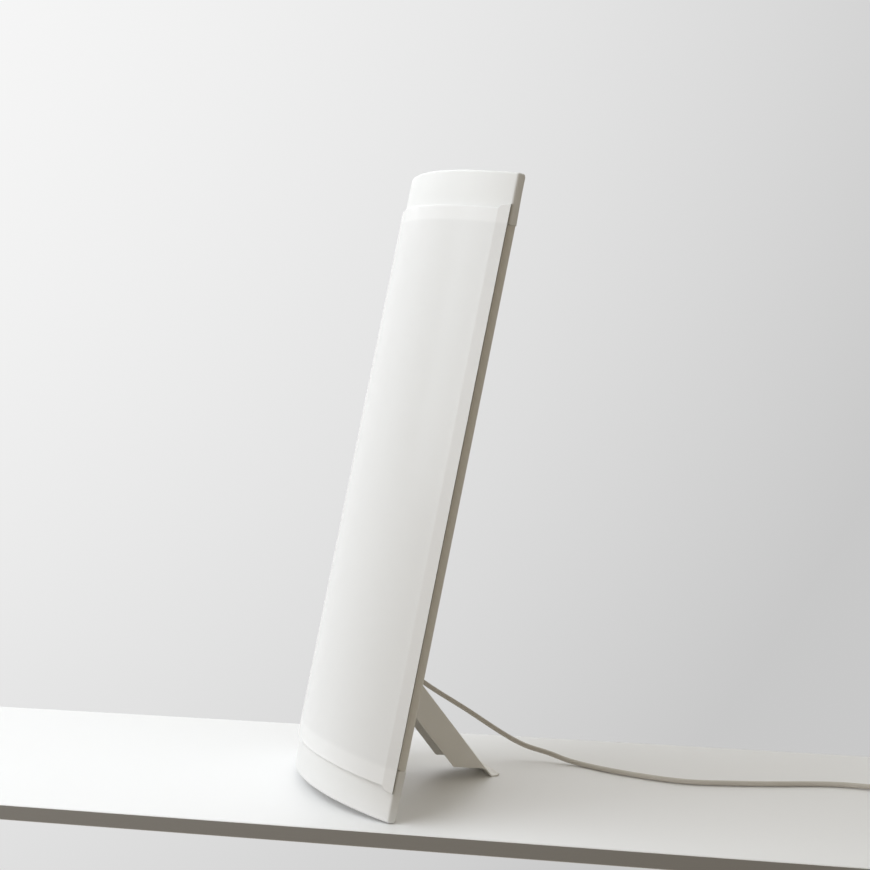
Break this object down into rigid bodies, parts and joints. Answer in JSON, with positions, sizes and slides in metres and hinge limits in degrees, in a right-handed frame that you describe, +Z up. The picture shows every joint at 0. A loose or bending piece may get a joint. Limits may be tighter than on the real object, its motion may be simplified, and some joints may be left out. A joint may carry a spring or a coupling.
{
  "type": "light therapy lamp",
  "caption": "Tall light box with a curved opal front between moulded end caps, leaning back on a folding channel strut, with a mains cord and plug.",
  "frame": {"origin": "middle of the lamp's footprint, on the table that its bottom edge and its strut's foot stand on", "axes": "+X to the viewer's right across the opal front, -Y out of the front, +Z up"},
  "size_m": [0.5064, 0.6975, 0.6449],
  "materials": {
    "white_metal": "satin powder coat",
    "white_cap": "satin moulded",
    "opal_acrylic": "satin opal sheet",
    "clear_plastic": "clear extruded",
    "bright_aluminium": "bright rolled",
    "lamp_glass": "white phosphor coated",
    "holder_plastic": "moulded",
    "ballast_case": "moulded",
    "terminal_plastic": "moulded",
    "wire_insulation": "extruded",
    "plated_steel": "zinc plated",
    "black_plastic": "fine texture",
    "cord_sheath": "soft extruded",
    "tie_fabric": "woven strip",
    "nickel_plate": "nickel plated brass"
  },
  "bodies": {
    "lamp": {"ballast": "ballast_case", "ballast_screw_1": "plated_steel", "ballast_screw_2": "plated_steel", "bottom_cap": "white_cap", "bracket_screw_1": "plated_steel", "bracket_screw_2": "plated_steel", "bracket_screw_3": "plated_steel", "bracket_screw_4": "plated_steel", "cap_screw_1": "plated_steel", "cap_screw_2": "plated_steel", "cap_screw_3": "plated_steel", "cap_screw_4": "plated_steel", "coil_tie": "tie_fabric", "cord": "cord_sheath", "cord_bush": "cord_sheath", "cord_coil": "cord_sheath", "cord_tail": "cord_sheath", "core_earth": "wire_insulation", "core_live": "wire_insulation", "core_neutral": "wire_insulation", "cover_rail_left": "clear_plastic", "cover_rail_right": "clear_plastic", "diffuser": "opal_acrylic", "lamp_lead_left": "wire_insulation", "lamp_lead_right": "wire_insulation", "left_lamp_base": "holder_plastic", "left_lamp_clip": "holder_plastic", "left_lamp_holder": "holder_plastic", "left_lamp_tube": "lamp_glass", "neutral_wire": "wire_insulation", "plug_body": "cord_sheath", "plug_earth_clip_bottom": "nickel_plate", "plug_earth_clip_top": "nickel_plate", "plug_pin_left": "nickel_plate", "plug_pin_right": "nickel_plate", "rear_pan": "white_metal", "reflector": "bright_aluminium", "reflector_rivet_1": "plated_steel", "reflector_rivet_2": "plated_steel", "reflector_rivet_3": "plated_steel", "reflector_rivet_4": "plated_steel", "right_lamp_base": "holder_plastic", "right_lamp_clip": "holder_plastic", "right_lamp_holder": "holder_plastic", "right_lamp_tube": "lamp_glass", "strain_relief": "cord_sheath", "strut_bracket": "white_metal", "strut_pin": "plated_steel", "switch_blade_lower": "plated_steel", "switch_blade_upper": "plated_steel", "switch_feed_wire": "wire_insulation", "switch_housing": "black_plastic", "switch_load_wire": "wire_insulation", "terminal_block": "terminal_plastic", "top_cap": "white_cap"},
    "strut_arm": {"strut": "white_metal"},
    "rocker": {"switch_rocker": "black_plastic"}
  },
  "joints": [
    {"name": "strut_fold", "type": "hinge", "parent": "lamp", "child": "strut_arm", "pos_m": [0, -0.01871, 0.12238], "axis": [1, 0, 0], "range_deg": [-49, 0]},
    {"name": "switch_press", "type": "hinge", "parent": "lamp", "child": "rocker", "pos_m": [0, -0.01032, 0.19174], "axis": [1, 0, 0], "range_deg": [0, 14]}
  ]
}
